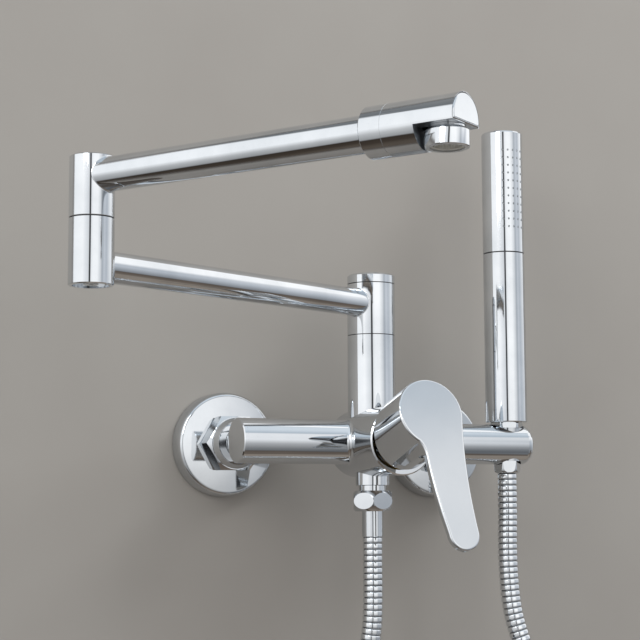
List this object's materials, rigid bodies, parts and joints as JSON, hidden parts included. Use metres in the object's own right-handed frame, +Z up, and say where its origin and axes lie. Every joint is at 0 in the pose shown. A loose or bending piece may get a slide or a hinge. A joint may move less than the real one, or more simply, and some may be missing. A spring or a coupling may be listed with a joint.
{
  "type": "wall mounted kitchen mixer with folding spout and hand shower",
  "caption": "Wall-mounted kitchen mixer: double-jointed folding spout on a riser, single lever, diverter button and a stick hand shower on a flexible metal hose.",
  "frame": {"origin": "on the wall plane, midway between the axes of the two inlets", "axes": "+X along the body towards the hand shower, +Y into the wall, +Z up"},
  "size_m": [0.3534, 0.3604, 0.4947],
  "materials": {
    "chrome_body": "polished chrome plate",
    "chrome_wall": "polished chrome plate",
    "chrome_lever": "polished chrome plate",
    "chrome_riser": "polished chrome plate",
    "chrome_spout": "polished chrome plate",
    "chrome_fittings": "polished chrome plate",
    "chrome_shower": "polished chrome plate",
    "brass": "turned, bare",
    "steel": "bright stainless steel",
    "rubber": "matt black",
    "plastic": "moulded, off-white",
    "plastic_dark": "moulded, dark grey",
    "ceramic": "lapped white ceramic",
    "hose_metal": "corrugated chromed steel tube, polished"
  },
  "bodies": {
    "mixer": {"wall_union_left": "brass", "wall_union_right": "brass", "escutcheon_left": "chrome_wall", "escutcheon_right": "chrome_wall", "union_nut_left": "chrome_wall", "union_nut_right": "chrome_wall", "inlet_washer_left": "rubber", "inlet_washer_right": "rubber", "mixer_body": "chrome_body", "body_end_plug": "chrome_body", "cartridge_housing": "plastic", "cartridge_nut": "brass", "cartridge_dome": "chrome_lever", "ceramic_disc_fixed": "ceramic", "riser_tube": "chrome_riser", "riser_post": "brass", "riser_washer": "plastic_dark", "cap_washer": "plastic_dark", "riser_cap": "chrome_riser", "diverter_spring": "steel", "outlet_nipple": "chrome_fittings", "hose_washer": "rubber", "hose_nut": "chrome_fittings", "hose_ferrule": "chrome_fittings", "hose_low_run": "hose_metal", "hose_coil": "hose_metal", "hose_top_run": "hose_metal", "hose_tie": "rubber"},
    "lower_spout": {"riser_knuckle": "chrome_riser", "riser_bush_low": "plastic", "riser_bush_high": "plastic", "lower_arm": "chrome_spout", "elbow_lower": "chrome_spout", "elbow_plug": "chrome_spout", "elbow_screw": "steel", "elbow_post": "brass", "elbow_washer": "plastic_dark"},
    "upper_spout": {"elbow_bush": "plastic", "elbow_upper": "chrome_spout", "upper_arm": "chrome_spout", "spout_collar": "chrome_spout", "spout_head": "chrome_spout", "aerator_housing": "chrome_spout", "aerator_insert": "plastic"},
    "cartridge_core": {"spindle_carrier": "plastic", "ceramic_disc_moving": "ceramic"},
    "lever": {"handle": "chrome_lever", "handle_grub_screw": "steel", "spindle": "steel", "spindle_pin": "steel"},
    "diverter": {"diverter_button": "chrome_riser", "diverter_rod": "steel", "diverter_spool": "plastic"},
    "hose_end": {"cone_nut": "chrome_fittings"},
    "hand_shower": {"wand_grip": "chrome_shower", "wand_seam": "plastic_dark", "wand_spray": "chrome_shower", "wand_cap": "chrome_shower", "nozzle_core": "plastic", "wand_valve": "plastic"}
  },
  "joints": [
    {"name": "riser_swivel", "type": "hinge", "parent": "mixer", "child": "lower_spout", "pos_m": [0, -0.062, 0.0655], "axis": [0, 0, 1], "range_deg": [-23, 95]},
    {"name": "elbow_swivel", "type": "hinge", "parent": "lower_spout", "child": "upper_spout", "pos_m": [-0.20711, -0.14991, 0.1095], "axis": [0, 0, 1], "range_deg": [-98, 72]},
    {"name": "temperature_turn", "type": "hinge", "parent": "mixer", "child": "cartridge_core", "pos_m": [0, -0.093, 0], "axis": [0, -1, 0], "range_deg": [-45, 45]},
    {"name": "lever_lift", "type": "hinge", "parent": "cartridge_core", "child": "lever", "pos_m": [0, -0.093, 0], "axis": [-1, 0, 0], "range_deg": [-8, 17]},
    {"name": "diverter_push", "type": "slide", "parent": "mixer", "child": "diverter", "axis": [0, 0, -1], "range_m": [0, 0.002], "stiffness_N_per_m": 500, "springref_m": -0.002, "deforming": ["diverter_spring"]},
    {"name": "hand_shower_lift", "type": "slide", "parent": "mixer", "child": "hose_end", "axis": [0, 0, 1], "range_m": [0, 0.08]},
    {"name": "hand_shower_turn", "type": "hinge", "parent": "hose_end", "child": "hand_shower", "pos_m": [0.0965, -0.062, 0.05], "axis": [0, 0, 1], "continuous": true}
  ]
}
